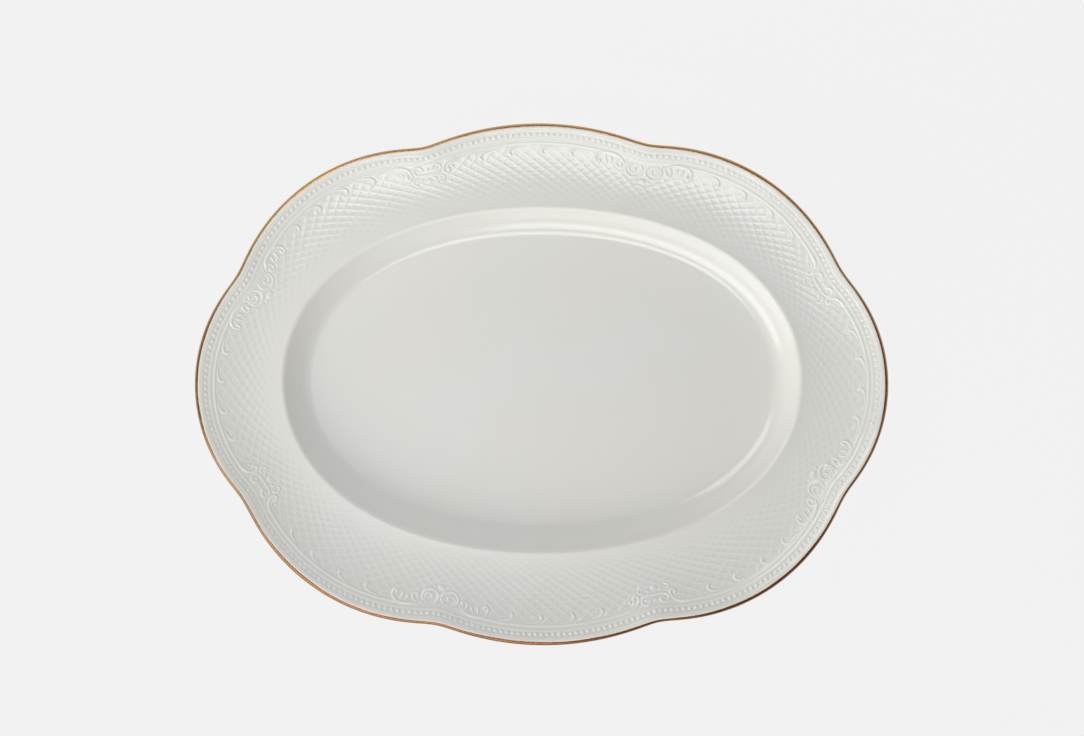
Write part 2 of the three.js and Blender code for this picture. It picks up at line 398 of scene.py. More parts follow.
def lobe_strokes(length):
    """All strokes of one lobe, with runs from its volute notch: the volutes, the leaves, the cord
    and, at the far end, the shell scrolls turned round."""
    near = np.vstack(volute_ornament())
    far = np.vstack(shell_ornament())
    far[:, [0, 2]] = length - far[:, [0, 2]]
    commas = np.vstack([s for share in COMMAS for s in comma_ornament(share * length)])
    cord_runs = np.linspace(14.0, length - 19.0, 12)
    cord = stroke(np.column_stack([cord_runs, np.full(12, CORD_DEPTH)]), CORD_HALF_WIDTH,
                  CORD_HALF_WIDTH, steps=2)
    return np.vstack([near, far, commas, cord])


def stroke_field(run, depth, strokes, chunk=24):
    """How deep each place lies in the nearest stroke, as 1 at its spine and 0 at its edge, and its
    distance from the nearest stroke's edge. For each segment, the place is dropped onto it, and
    its distance is compared with the half width there."""
    inside = np.full(run.shape, -1e3)
    outside = np.full(run.shape, 1e3)
    bulk = np.zeros(run.shape)
    for first in range(0, len(strokes), chunk):
        ax, ay, bx, by, wa, wb = strokes[first:first + chunk].T[:, :, None]
        dx, dy = bx - ax, by - ay
        share = ((run - ax) * dx + (depth - ay) * dy) / (dx ** 2 + dy ** 2)
        share = np.clip(share, 0, 1)
        distance = np.hypot(run - ax - share * dx, depth - ay - share * dy)
        width = wa + (wb - wa) * share
        level = 1 - distance / width
        best = level.max(0)
        wide = np.take_along_axis(width, level.argmax(0)[None], 0)[0]
        bulk = np.where(best > inside, wide, bulk)
        inside = np.maximum(inside, best)
        outside = np.minimum(outside, (distance - width).min(0))
    return inside, outside, bulk


# ---- Relief
def smooth_step(value, low, high):
    share = np.clip((value - low) / (high - low), 0, 1)
    return share * share * (3 - 2 * share)


def ridge(distance, half_width):
    """A rounded ridge of height 1: one arch of a cosine, level at its foot."""
    return 0.5 + 0.5 * np.cos(math.pi * np.clip(distance / half_width, -1, 1))


def border_place(points):
    """Where plan points lie on the border: the lobe, the depth inward from the lip (the softened
    largest of radius less distance from each lobe's centre), and the angle round that centre."""
    away = points[..., None, :] - LOBES["centre"]
    depth = LOBES["radius"] - np.hypot(away[..., 0], away[..., 1])
    depth = np.where(points @ LOBES["crown"].T > 0, depth, -1e3)
    lobe = depth.argmax(-1)
    own = np.take_along_axis(away, lobe[..., None, None], -2)[..., 0, :]
    out = LOBES["outward"][lobe]
    angle = np.arctan2(out[..., 0] * own[..., 1] - out[..., 1] * own[..., 0], (out * own).sum(-1))
    return lobe, soft_max(depth, BORDER_SOFTNESS), angle


def run_from_notch(angle, half_angle, radius, fold, depth):
    """The run along the lip from a notch. Near the notch, the places fan out with depth, so that
    the run is nought on the line that halves the notch."""
    lean = np.maximum(depth, 0) * np.tan(fold)
    reach = np.maximum((half_angle - angle) * radius + lean, 0)
    return reach - lean * (1 - np.exp(-reach / FAN_REACH))


def bead_relief(lobe, depth, angle, sizes):
    """Beads as low rounded bowls upside down, set evenly along each lobe at one depth."""
    radius = LOBES["radius"][lobe] - BEAD_DEPTH
    spread = BEAD_DEPTH / radius
    start = LOBES["half_angle"][lobe] + spread * np.tan(LOBES["fold_start"][lobe])
    end = LOBES["half_angle"][lobe] + spread * np.tan(LOBES["fold_end"][lobe])
    count = (angle + start) / (start + end) * BEADS_PER_LOBE
    pitch = (start + end) * radius / BEADS_PER_LOBE
    along = (count - np.floor(count) - 0.5) * pitch / (sizes.bead_length / MM / 2)
    across = (depth - BEAD_DEPTH) / (sizes.bead_width / MM / 2)
    return sizes.bead_height / MM * np.clip(1 - along ** 2 - across ** 2, 0, 1)


def lattice_relief(angle, from_verge, sizes):
    """Two families of rounded ribs that cross. A rib's phase is its share of the way round, plus
    or minus a share that grows outward from the verge ever more slowly."""
    around = LATTICE_RIBS / (2 * math.pi) * (angle - LATTICE_BUNCHING * np.sin(2 * angle))
    reach = from_verge + LATTICE_START
    slant = LATTICE_SLANT[0] * reach - LATTICE_SLANT[1] * reach ** 2
    heights = []
    for phase in (around + slant, around - slant):
        off = np.abs(phase - np.round(phase))
        heights.append(np.exp(-(off / sizes.rib_share) ** 2))
    return sizes.rib_height / MM * (np.maximum(*heights) + 0.25 * np.minimum(*heights))


def rim_relief(points, angle, from_verge, sizes):
    """Relief over the rim's plain surface, in millimetres: the border's rules, channel and beads,
    the ornament's strokes, and the lattice wherever nothing else lies."""
    lobe, depth, turn = border_place(points)
    height = EDGE_RULE[2] * ridge(depth - EDGE_RULE[0], EDGE_RULE[1])
    height -= CHANNEL[2] * (smooth_step(depth, CHANNEL[0] - 0.3, CHANNEL[0] + 0.3)
                            - smooth_step(depth, CHANNEL[1] - 0.3, CHANNEL[1] + 0.3))
    height += bead_relief(lobe, depth, turn, sizes)
    height += RULE[2] * ridge(depth - RULE[0], RULE[1])
    height += GROOVE[2] * ridge(depth - GROOVE[0], GROOVE[1])
    strokes_height = np.zeros(depth.shape)
    clear = np.ones(depth.shape)
    for index in range(LOBE_COUNT):
        here = (lobe == index) & (depth > ORNAMENT_BAND[0]) & (depth < ORNAMENT_BAND[1])
        radius, half = LOBES["radius"][index], LOBES["half_angle"][index]
        length = 2 * half * radius
        near_fold, far_fold = LOBES["fold_start"][index], LOBES["fold_end"][index]
        near_turn = -turn[here]
        if index % 2 == 0:
            near_fold, far_fold = far_fold, near_fold
            near_turn = turn[here]
        near = run_from_notch(near_turn, half, radius, near_fold, depth[here])
        far = run_from_notch(-near_turn, half, radius, far_fold, depth[here])
        run = np.where(near < far, near, length - far)
        inside, outside, bulk = stroke_field(run, depth[here], lobe_strokes(length))
        rounded = ridge(1 - np.clip(inside, 0, 1), 1)
        strokes_height[here] = sizes.ornament_height / MM * rounded * bulk
        clear[here] = smooth_step(outside, -0.1, 0.9)
    field = smooth_step(depth, FIELD_START - 0.6, FIELD_START + 0.6)
    near_edge, far_edge, least = LATTICE_FADE
    grown = least + (1 - least) * smooth_step(from_verge, near_edge, far_edge)
    field *= smooth_step(from_verge, 0.3, 1.6) * grown
    height += strokes_height
    lattice = lattice_relief(angle, from_verge, sizes)
    height += field * (clear * lattice - FIELD_SINK)
    return height


# ---- Meshes
def grid_faces(rows, columns, wrap_rows, wrap_columns):
    """Quads between neighbouring rows and columns of a grid, whose points are numbered row by
    row. They turn so that a section drawn outwards above and back below faces outwards."""
    row = np.arange(rows if wrap_rows else rows - 1)[:, None]
    column = np.arange(columns if wrap_columns else columns - 1)[None, :]
    next_row, next_column = (row + 1) % rows, (column + 1) % columns
    quad = np.stack([row * columns + column, next_row * columns + column,
                     next_row * columns + next_column, row * columns + next_column], -1)
    return quad.reshape(-1, 4)


def grid_normals(points):
    """Normals of a grid whose columns close into a ring: the cross product of the steps between
    each point's neighbours along and across. The first and last rows look only inwards."""
    across = np.gradient(points, axis=0)
    along = np.roll(points, -1, 1) - np.roll(points, 1, 1)
    normal = np.cross(across, along)
    return normal / np.maximum(np.linalg.norm(normal, axis=-1, keepdims=True), 1e-12)


def make_piece(name, points, loops, counts, normals=None, attributes=None, uv=None):
    """A mesh object from arrays: points, the corners of all faces in one run, and how many corners
    each face has. Normals are one for each point, attributes one number for each point."""
    mesh = bpy.data.meshes.new(name)
    mesh.vertices.add(len(points))
    mesh.vertices.foreach_set("co", points.astype(np.float32).ravel())
    mesh.loops.add(len(loops))
    mesh.loops.foreach_set("vertex_index", loops.astype(np.int32))
    mesh.polygons.add(len(counts))
    mesh.polygons.foreach_set("loop_start", (np.cumsum(counts) - counts).astype(np.int32))
    mesh.update(calc_edges=True)
    mesh.shade_smooth()
    for attribute_name, values in (attributes or {}).items():
        layer = mesh.attributes.new(attribute_name, "FLOAT", "POINT")
        layer.data.foreach_set("value", values.astype(np.float32).ravel())
    if uv is not None:
        layer = mesh.uv_layers.new(name="UVMap")
        layer.data.foreach_set("uv", uv.astype(np.float32).ravel())
    if mesh.validate():
        raise RuntimeError(f"{name} has faces that Blender had to mend")
    if normals is not None:
        mesh.normals_split_custom_set_from_vertices(normals.reshape(-1, 3))
    made = bpy.data.objects.new(name, mesh)
    bpy.context.scene.collection.objects.link(made)
    return made


def fit_piece(piece, material, slot, *nodes):
    """Gives a piece its material and body, and hides the imported parts that it stands for. The slot is
    not used.
    """
    piece.data.materials.append(material)
    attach(piece, "root")
    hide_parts(*nodes)
    return piece


def clear_piece(name):
    """Removes an earlier build of a piece."""
    if name in bpy.data.objects:
        bpy.data.objects.remove(bpy.data.objects[name])


def angles(count):
    return np.arange(count) / count * 2 * math.pi


def rim_grid(sizes):
    """The rim's whole grid of points, with the share of glaze that pools at each, which also paints
    shade into the relief's recesses. Its rows run out over the relief, round the lip, back under the
    rim, and close at the hidden joint."""
    columns = angles(COLUMNS)
    field = np.linspace(SPLIT, FIELD_END, FIELD_ROWS)[:-1]
    border = np.linspace(FIELD_END, round_point(math.pi / 2, GLAZE_LIP_RADIUS)[0], BORDER_ROWS)
    over = np.concatenate([field, border])
    lip = round_point(np.radians(np.linspace(90, -90, LIP_ROWS)), GLAZE_LIP_RADIUS)[1:-1]
    back = np.linspace(round_point(-math.pi / 2, GLAZE_LIP_RADIUS)[0], SPLIT, BACK_ROWS)
    station = np.concatenate([over, lip[:, 0], back])
    base = np.concatenate([upper_height(over), lip[:, 1], lower_height(back)])
    points = plan(station, columns)
    height = np.repeat(base[:, None], COLUMNS, 1)
    width = np.linalg.norm(lip_point(columns) - plan([VERGE_HALF_LENGTH], columns)[0], axis=-1)
    share = (over - VERGE_HALF_LENGTH) / (HALF_LENGTH - VERGE_HALF_LENGTH)
    relief = rim_relief(points[:len(over)], columns[None, :], share[:, None] * width, sizes)
    height[:len(over)] += relief
    # The relief's recesses get a darker, greyer glaze colour. It is partly glaze that pools there and
    # partly painted shade.
    pool_and_shade = np.zeros(height.shape)
    worked = border_place(points[:len(over)])[1] > EDGE_RULE[0]
    pool_and_shade[:len(over)] = np.where(worked, smooth_step(-relief, -0.16, 0.2), 0.2)
    return seat(points, height), pool_and_shade


def cut_columns():
    """Columns at which the rim is cut into pieces: the notches, where a cut shows least."""
    notch = np.vstack([NOTCHES, -NOTCHES])
    turn = np.arctan2(notch[:, 1] / HALF_WIDTH, notch[:, 0] / HALF_LENGTH) % (2 * math.pi)
    return np.sort(np.round(turn / (2 * math.pi) * COLUMNS).astype(int))


# ---- Materials
def linear(hex_colour):
    """An sRGB hex value as linear colour: below 0.04045 a straight line, above it a power 2.4."""
    value = np.array([int(hex_colour[i:i + 2], 16) / 255 for i in (1, 3, 5)])
    low, high = value / 12.92, ((value + 0.055) / 1.055) ** 2.4
    return (*np.where(value <= 0.04045, low, high).tolist(), 1.0)


def add_node(tree, kind, inputs=None, links=None, **properties):
    """Adds one node, sets its properties and input values, and links other nodes' outputs in."""
    made = tree.nodes.new(kind)
    for name, value in properties.items():
        setattr(made, name, value)
    for name, value in (inputs or {}).items():
        made.inputs[name].default_value = value
    for name, source in (links or {}).items():
        tree.links.new(source, made.inputs[name])
    return made


def new_tree(name):
    """A new material's empty node tree."""
    material = bpy.data.materials.get(name) or bpy.data.materials.new(name)
    material.use_nodes = True
    material.node_tree.nodes.clear()
    return material, material.node_tree


def add_noise(tree, millimetres, detail, where):
    """A noise texture with blotches of that size."""
    return add_node(tree, "ShaderNodeTexNoise", {"Scale": 1 / (millimetres * MM), "Detail": detail},
                    {"Vector": where})


def add_shader(tree, values, colour, roughness, bump):
    """A material's shader and its output."""
    shader = add_node(tree, "ShaderNodeBsdfPrincipled", values,
                      {"Base Color": colour.outputs[2], "Roughness": roughness.outputs["Result"],
                       "Normal": bump.outputs["Normal"]})
    add_node(tree, "ShaderNodeOutputMaterial", None, {"Surface": shader.outputs["BSDF"]})


def glazed_porcelain(colours):
    """Hard-paste porcelain, pressed, biscuit fired and dipped in clear feldspar glaze, fired at 1,400
    degrees. The eye gets a cool near-white body under a hard, wet gloss, a faint cloudiness of a hand's
    width, a soft ripple in the glaze, and greyer glaze in the relief's recesses. That greyer glaze is
    partly glaze that pools there and partly painted shade."""
    material, tree = new_tree("glazed_porcelain")
    where = add_node(tree, "ShaderNodeTexCoord").outputs["Object"]
    cloud = add_noise(tree, 70, 2.0, where)
    cloudy = add_node(tree, "ShaderNodeMapRange", {"From Min": 0.35, "From Max": 0.65},
                      {"Value": cloud.outputs["Fac"]})
    body = add_node(tree, "ShaderNodeMix", {6: linear(colours.glaze), 7: linear(colours.glaze_warm)},
                    {0: cloudy.outputs["Result"]}, data_type="RGBA")
    # The darker glaze in the recesses: partly pooled glaze, partly painted shade.
    pool_and_shade = add_node(tree, "ShaderNodeAttribute", attribute_name="glaze_pool_and_shade")
    pooled_and_shaded = add_node(tree, "ShaderNodeMix", {7: linear(colours.glaze_pooled_and_shaded)},
                      {0: pool_and_shade.outputs["Fac"], 6: body.outputs[2]}, data_type="RGBA")
    breath = add_noise(tree, 24, 3.0, where)
    gloss = add_node(tree, "ShaderNodeMapRange", {"From Min": 0.3, "From Max": 0.7, "To Min": 0.1,
                                                  "To Max": 0.17}, {"Value": breath.outputs["Fac"]})
    ripple = add_noise(tree, 9, 1.0, where)
    bump = add_node(tree, "ShaderNodeBump", {"Strength": 0.6, "Distance": 0.00004},
                    {"Height": ripple.outputs["Fac"]})
    add_shader(tree, {"IOR": 1.5}, pooled_and_shaded, gloss, bump)
    return material


def fired_gold(colours):
    """Bright gold: gold in resin, lined onto the glaze by hand on a turntable and fired at 800 degrees.
    The eye gets a thin brown-gold mirror, drawn out in brush strokes along the lip, and dulled in
    patches. Its colour is also painted paler at the far side and browner at the near side. That is
    painted reflection of the brighter and darker surroundings that the gold mirrors."""
    material, tree = new_tree("fired_gold")
    where = add_node(tree, "ShaderNodeUVMap", uv_map="UVMap")
    stretched = add_node(tree, "ShaderNodeMapping", {"Scale": (0.05, 1.4, 1.0)},
                         {"Vector": where.outputs["UV"]})
    strokes = add_node(tree, "ShaderNodeTexNoise", {"Scale": 1.0, "Detail": 3.0},
                       {"Vector": stretched.outputs["Vector"]})
    place = add_node(tree, "ShaderNodeTexCoord").outputs["Object"]
    # Painted reflection: by place, the gold is painted browner towards the near side and paler towards
    # the far side. This is added to the brush strokes, so the mix below is partly thin gold and partly
    # painted shade.
    painted_reflection = add_node(tree, "ShaderNodeVectorMath", {1: GOLD_PAINTED_REFLECTION}, {0: place},
                    operation="DOT_PRODUCT")
    brown = add_node(tree, "ShaderNodeMath", {1: 0.6},
                     {0: strokes.outputs["Fac"], 2: painted_reflection.outputs["Value"]}, operation="MULTIPLY_ADD")
    thin = add_node(tree, "ShaderNodeMapRange", {"From Min": -0.55, "From Max": 1.15},
                    {"Value": brown.outputs["Value"]})
    colour = add_node(tree, "ShaderNodeMix", {6: linear(colours.gold), 7: linear(colours.gold_thin_and_shaded)},
                      {0: thin.outputs["Result"]}, data_type="RGBA")
    rub = add_node(tree, "ShaderNodeTexNoise", {"Scale": 0.35, "Detail": 4.0},
                   {"Vector": where.outputs["UV"]})
    dull = add_node(tree, "ShaderNodeMapRange", {"From Min": 0.3, "From Max": 0.7, "To Min": 0.2,
                                                 "To Max": 0.34}, {"Value": rub.outputs["Fac"]})
    bump = add_node(tree, "ShaderNodeBump", {"Strength": 0.5, "Distance": 0.00002},
                    {"Height": strokes.outputs["Fac"]})
    add_shader(tree, {"Metallic": 1.0}, colour, dull, bump)
    return material


def bare_foot(colours):
    """The same porcelain, with the glaze wiped off the standing edge so that it doesn't stick to
    the kiln shelf. The eye gets a dry, sandy, slightly toasted line with grey rubs from use, and
    the glaze's gloss again from a millimetre up."""
    material, tree = new_tree("bare_foot")
    where = add_node(tree, "ShaderNodeTexCoord").outputs["Object"]
    height = add_node(tree, "ShaderNodeSeparateXYZ", None, {"Vector": where})
    waver = add_noise(tree, 12, 2.0, where)
    edge = add_node(tree, "ShaderNodeMath", {1: 0.0008},
                    {0: waver.outputs["Fac"], 2: height.outputs["Z"]}, operation="MULTIPLY_ADD")
    glaze = add_node(tree, "ShaderNodeMapRange", {"From Min": 0.0012, "From Max": 0.0015},
                     {"Value": edge.outputs["Value"]})
    smudge = add_noise(tree, 15, 5.0, where)
    rubbed = add_node(tree, "ShaderNodeMapRange", {"From Min": 0.45, "From Max": 0.7},
                      {"Value": smudge.outputs["Fac"]})
    clay = add_node(tree, "ShaderNodeMix", {6: linear(colours.biscuit), 7: linear(colours.rub)},
                    {0: rubbed.outputs["Result"]}, data_type="RGBA")
    colour = add_node(tree, "ShaderNodeMix", {7: linear(colours.glaze)},
                      {0: glaze.outputs["Result"], 6: clay.outputs[2]}, data_type="RGBA")
    gloss = add_node(tree, "ShaderNodeMapRange", {"To Min": 0.82, "To Max": 0.12},
                     {"Value": glaze.outputs["Result"]})
    grit = add_noise(tree, 0.8, 2.0, where)
    bump = add_node(tree, "ShaderNodeBump", {"Strength": 0.5, "Distance": 0.00008},
                    {"Height": grit.outputs["Fac"]})
    add_shader(tree, {"IOR": 1.5}, colour, gloss, bump)
    return material


# ---- What a user may change
def length_property(name, description, default):
    return FloatProperty(name=name, description=description, default=default, min=0.0,
                         precision=5, subtype="DISTANCE", unit="LENGTH")


class PlatterSizes(bpy.types.PropertyGroup):
    bead_length: length_property("Bead length", "Size of a bead along the lip", 0.00195)
    bead_width: length_property("Bead width", "Size of a bead across the border", 0.0023)
    bead_height: length_property("Bead height", "How far a bead stands in its channel", 0.00029)
    ornament_height: length_property("Ornament height", "How far scrolls and the cord stand",
                                     0.0003)
    rib_height: length_property("Rib height", "How far the lattice's ribs stand", 0.00011)
    rib_share: FloatProperty(name="Rib share", description="A rib's half width as a share of the "
                             "space between ribs", default=0.2, min=0.05, max=0.5,
                             subtype="FACTOR")


def colour_property(name, description, default):
    return StringProperty(name=name, description=description + ", as an sRGB hex value",
                          default=default)


class PlatterColours(bpy.types.PropertyGroup):
    glaze: colour_property("Glaze", "Porcelain under clear glaze", "#EBECE9")
    glaze_warm: colour_property("Warm glaze", "The body's warmer clouds", "#ECEAE4")
    # The recesses' darker glaze: partly pooled glaze, partly painted shade.
    glaze_pooled_and_shaded: colour_property("Pooled glaze", "Glaze that gathers in the relief", "#E4E5E0")
    gold: colour_property("Gold", "Fired gold where it is thickest", "#C9A06A")
    # The gold's darker colour: where the brush ran dry, and also the painted shade of the gold's near
    # side.
    gold_thin_and_shaded: colour_property("Thin gold", "Fired gold where the brush ran dry", "#7E5132")
    biscuit: colour_property("Biscuit", "Bare fired porcelain", "#DDD5C6")
    rub: colour_property("Rub marks", "Grey marks of use on the bare edge", "#B4ADA2")
    floor: colour_property("Floor", "The studio floor", "#F2F2F2")


def power_property(name, description, default):
    return FloatProperty(name=name, description=description, default=default, min=0.0,
                         subtype="POWER", unit="POWER")


class PlatterStage(bpy.types.PropertyGroup):
    camera_tilt: FloatProperty(name="Camera tilt", description="How far the camera leans from "
                               "straight above", default=math.radians(2.5), subtype="ANGLE",
                               unit="ROTATION")
    camera_distance: length_property("Camera distance", "From the lens to the lip", 1.5)
    camera_lens: FloatProperty(name="Focal length", description="The lens, for a sensor 36 mm wide",
                               default=96.1, subtype="DISTANCE_CAMERA", unit="CAMERA")
    key_power: power_property("Window", "Power of the long window light", 12.2)
    top_power: power_property("Overhead", "Power of the overhead light", 4.6)
    side_power: power_property("Left panel", "Power of the near panel on the left", 1.7)
    strip_power: power_property("Strip", "Power of the thin strip light behind", 0.8)


# ---- Operators
class PLATTER_OT_rim(bpy.types.Operator):
    """Builds the rim, its relief and the lip, cut at the notches into eight lobes"""
    bl_idname = "platter.rim"
    bl_label = "Rim lobes"

    def execute(self, context):
        scene = context.scene
        points, pool_and_shade = rim_grid(scene.platter_sizes)
        normals = grid_normals(points)
        material = glazed_porcelain(scene.platter_colours)
        rows = len(points)
        cuts = cut_columns()
        for index in range(LOBE_COUNT):
            name = f"rim_lobe_{index + 1}"
            clear_piece(name)
            span = (cuts[(index + 1) % LOBE_COUNT] - cuts[index]) % COLUMNS + 1
            taken = (cuts[index] + np.arange(span)) % COLUMNS
            quads = grid_faces(rows, span, True, False)
            first_cap = np.arange(rows)[::-1] * span
            last_cap = np.arange(rows) * span + span - 1
            loops = np.concatenate([quads.ravel(), first_cap, last_cap])
            counts = np.concatenate([np.full(len(quads), 4), [rows, rows]])
            piece = make_piece(name, points[:, taken].reshape(-1, 3), loops, counts,
                               normals[:, taken], {"glaze_pool_and_shade": pool_and_shade[:, taken]})
            fit_piece(piece, material, "glazed_porcelain", "platter_body")
        return {"FINISHED"}


class PLATTER_OT_well(bpy.types.Operator):
    """Builds the well: the floor, its wall and the verge, with the underside that they stand on"""
    bl_idname = "platter.well"
    bl_label = "Well"

    def execute(self, context):
        clear_piece("well")
        columns = angles(WELL_COLUMNS)
        floor_edge = UPPER[0, 0]
        wall_end = floor_edge + WALL_FOOT_EASE + WALL_FOOT_RADIUS * math.sin(WALL_ANGLE) + WALL_RUN
        climb = np.concatenate([np.linspace(floor_edge, wall_end, 26)[:-1],
                                np.linspace(wall_end, SPLIT, 12)])
        back = np.concatenate([[SPLIT], np.linspace(SPLIT, FOOT_OUTER, 16)[1:]])
        shares = np.array([0.05, 0.12, 0.25, 0.4, 0.55, 0.7, 0.8, 0.88, 0.94, 0.98])
        floor_oval = plan([floor_edge], columns)
        under_oval = plan([FOOT_OUTER], columns)
        middle = np.array([0.0, WELL_SHIFT])
        flat = middle + shares[:, None, None] * (floor_oval - middle)
        crown = FLOOR_TOP + FLOOR_CROWN * (1 - shares ** 2) ** 2
        under = middle + shares[::-1][:, None, None] * (under_oval - middle)
        layout = np.vstack([flat, plan(climb, columns), plan(back, columns), under])
        height = np.concatenate([crown, upper_height(climb), lower_height(back),
                                 np.full(len(shares), FOOT_HEIGHT)])
        points = seat(layout, np.repeat(height[:, None], WELL_COLUMNS, 1))
        poles = seat(np.vstack([middle, middle]), np.array([FLOOR_TOP + FLOOR_CROWN, FOOT_HEIGHT]))
        upper_rows = len(shares) + len(climb)
        normals = np.vstack([grid_normals(points[:upper_rows]), grid_normals(points[upper_rows:])])
        rows = len(points)
        quads = grid_faces(rows, WELL_COLUMNS, False, True)
        ring = np.arange(WELL_COLUMNS)
        follow = (ring + 1) % WELL_COLUMNS
        last = (rows - 1) * WELL_COLUMNS
        top_pole, low_pole = rows * WELL_COLUMNS, rows * WELL_COLUMNS + 1
        top_fan = np.stack([np.full_like(ring, top_pole), ring, follow], 1)
        low_fan = np.stack([np.full_like(ring, low_pole), last + follow, last + ring], 1)
        loops = np.concatenate([quads.ravel(), top_fan.ravel(), low_fan.ravel()])
        counts = np.concatenate([np.full(len(quads), 4), np.full(2 * WELL_COLUMNS, 3)])
        all_points = np.vstack([points.reshape(-1, 3), poles])
        all_normals = np.vstack([normals.reshape(-1, 3), [[0, 0, 1], [0, 0, -1]]])
        piece = make_piece("well", all_points, loops, counts, all_normals,
                           {"glaze_pool_and_shade": np.full(len(all_points), 0.2)})
        fit_piece(piece, glazed_porcelain(context.scene.platter_colours), "glazed_porcelain",
                  "platter_body")
        return {"FINISHED"}


def ring_piece(name, section, columns, material, slot, node, uv_scale=None):
    """Carries closed sections round the platter. section is (rows, columns, 2): stations and
    heights at each column."""
    clear_piece(name)
    turn = angles(columns)
    rows = len(section)
    points = seat(plan(section[..., 0], turn), section[..., 1])
    quads = grid_faces(rows, columns, True, True)
    uv = None
    if uv_scale:
        step = np.linalg.norm(np.diff(lip_point(turn), axis=0), axis=1)
        along = np.concatenate([[0], np.cumsum(step)])
        across = np.arange(rows) * uv_scale
        u = np.repeat(along[None, :], rows, 0).ravel()
        v = np.repeat(across[:, None], columns, 1).ravel()
        uv = np.stack([u, v], 1)[quads.ravel()]
    piece = make_piece(name, points.reshape(-1, 3), quads.ravel(), np.full(len(quads), 4), None,
                       None, uv)
    return fit_piece(piece, material, slot, node)


class PLATTER_OT_gilding(bpy.types.Operator):
    """Builds the gold line round the lip, with the slight waver of a hand-drawn edge"""
    bl_idname = "platter.gilding"
    bl_label = "Gilding"

    def execute(self, context):
        turn = angles(GOLD_COLUMNS)
        waver = 2.2 * np.sin(7 * turn + 0.6) + 1.6 * np.sin(19 * turn + 2.1) + np.sin(43 * turn)
        upper = np.radians(60 + waver)
        lower = math.radians(-45)
        share = np.linspace(0, 1, 15)[:, None]
        sweep = upper + (lower - upper) * share
        outer = round_point(sweep, GLAZE_LIP_RADIUS + GOLD_CLEARANCE + GOLD_FILM)
        inner = round_point(sweep[::-1], GLAZE_LIP_RADIUS + GOLD_CLEARANCE)
        ring_piece("gold_line", np.concatenate([outer, inner]), GOLD_COLUMNS,
                   fired_gold(context.scene.platter_colours), "gilding", "gilt_lip_band", 0.2)
        return {"FINISHED"}


class PLATTER_OT_foot(bpy.types.Operator):
    """Builds the foot: an oval ring with sloping glazed sides and a bare rounded standing edge"""
    bl_idname = "platter.foot"
    bl_label = "Foot"

    def execute(self, context):
        outer_side = quadratic((FOOT_OUTER, FOOT_HEIGHT), (FOOT_OUTER - 0.7, FOOT_HEIGHT - 0.8),
                               (FOOT_OUTER - 0.9, 1.2), 8)
        outer_edge = quadratic((FOOT_OUTER - 0.9, 1.2), (FOOT_OUTER - 1.1, 0), (FOOT_OUTER - 2.4, 0), 6)
        stand = np.array([[FOOT_STAND, 0]])
        inner_edge = quadratic((FOOT_INNER + 2.2, 0), (FOOT_INNER + 1.0, 0), (FOOT_INNER + 0.8, 1.2), 6)
        inner_side = quadratic((FOOT_INNER + 0.8, 1.2), (FOOT_INNER + 0.6, FOOT_HEIGHT - 0.8),
                               (FOOT_INNER, FOOT_HEIGHT), 8)
        section = np.vstack([outer_side, outer_edge[1:], stand, inner_edge, inner_side[1:]])
        section = np.repeat(section[:, None, :], WELL_COLUMNS, 1)
        piece = ring_piece("foot", section, WELL_COLUMNS, bare_foot(context.scene.platter_colours),
                           "bare_foot", "foot_ring")
        piece.data.set_sharp_from_angle(angle=math.radians(50))
        return {"FINISHED"}


def add_light(name, power, size, direction, distance, target, colour):
    """An oblong area light, at a distance along a direction given as azimuth and elevation, that
    faces its target."""
    azimuth, elevation = (math.radians(a) for a in direction)
    offset = np.array([math.cos(azimuth) * math.cos(elevation),
                       math.sin(azimuth) * math.cos(elevation), math.sin(elevation)])
    lamp = bpy.data.lights.new(name, "AREA")
    lamp.shape = "RECTANGLE"
    lamp.energy = power
    lamp.size, lamp.size_y = size
    lamp.color = linear(colour)[:3]
    made = bpy.data.objects.new(name, lamp)
    made.location = np.array(target) + offset * distance
    made.rotation_euler = (math.pi / 2 - elevation, 0, azimuth + math.pi / 2)
    bpy.context.scene.collection.objects.link(made)


class PLATTER_OT_stage(bpy.types.Operator):
    """Builds the floor, the studio lights, the surroundings and the camera"""
    bl_idname = "platter.stage"
    bl_label = "Stage"

    def execute(self, context):
        scene = context.scene
        setup, colours = scene.platter_stage, scene.platter_colours
        low, high = CAD_BOX
        middle = ((low.x + high.x) / 2, (low.y + high.y) / 2, high.z)
        add_floor(low.z, colours)
        add_light("window", setup.key_power, (2.0, 0.6), (238, 22), 1.4, middle, "#FFFDFA")
        add_light("overhead", setup.top_power, (0.6, 0.6), (262, 61), 1.4, middle, "#FFFFFF")
        add_light("left_panel", setup.side_power, (0.4, 0.4), (135, 50), 0.75, middle, "#FFFFFF")
        add_light("back_strip", setup.strip_power, (2.2, 0.06), (100, 30), 1.5, middle, "#FFFFFF")
        add_surroundings(scene)
        add_camera(scene, setup, middle)
        scene.view_settings.view_transform = "Standard"
        return {"FINISHED"}


def add_floor(height, colours):
    """A wide plain floor. Nearly all its light is its own, so that its tone stays even and the
    platter casts hardly any shadow on it."""
    clear_piece("studio_floor")
    half = 30.0
    corners = np.array([[-half, -half, height], [half, -half, height], [half, half, height],
                        [-half, half, height]])
    piece = make_piece("studio_floor", corners, np.arange(4), np.array([4]))
    material, tree = new_tree("studio_floor")
    lit = add_node(tree, "ShaderNodeBsdfDiffuse", {"Color": linear(colours.floor)})
    glow = add_node(tree, "ShaderNodeEmission", {"Color": linear(colours.floor), "Strength": 1.0})
    both = add_node(tree, "ShaderNodeMixShader", {0: FLOOR_GLOW},
                    {1: lit.outputs["BSDF"], 2: glow.outputs["Emission"]})
    add_node(tree, "ShaderNodeOutputMaterial", None, {"Surface": both.outputs["Shader"]})
    piece.data.materials.append(material)


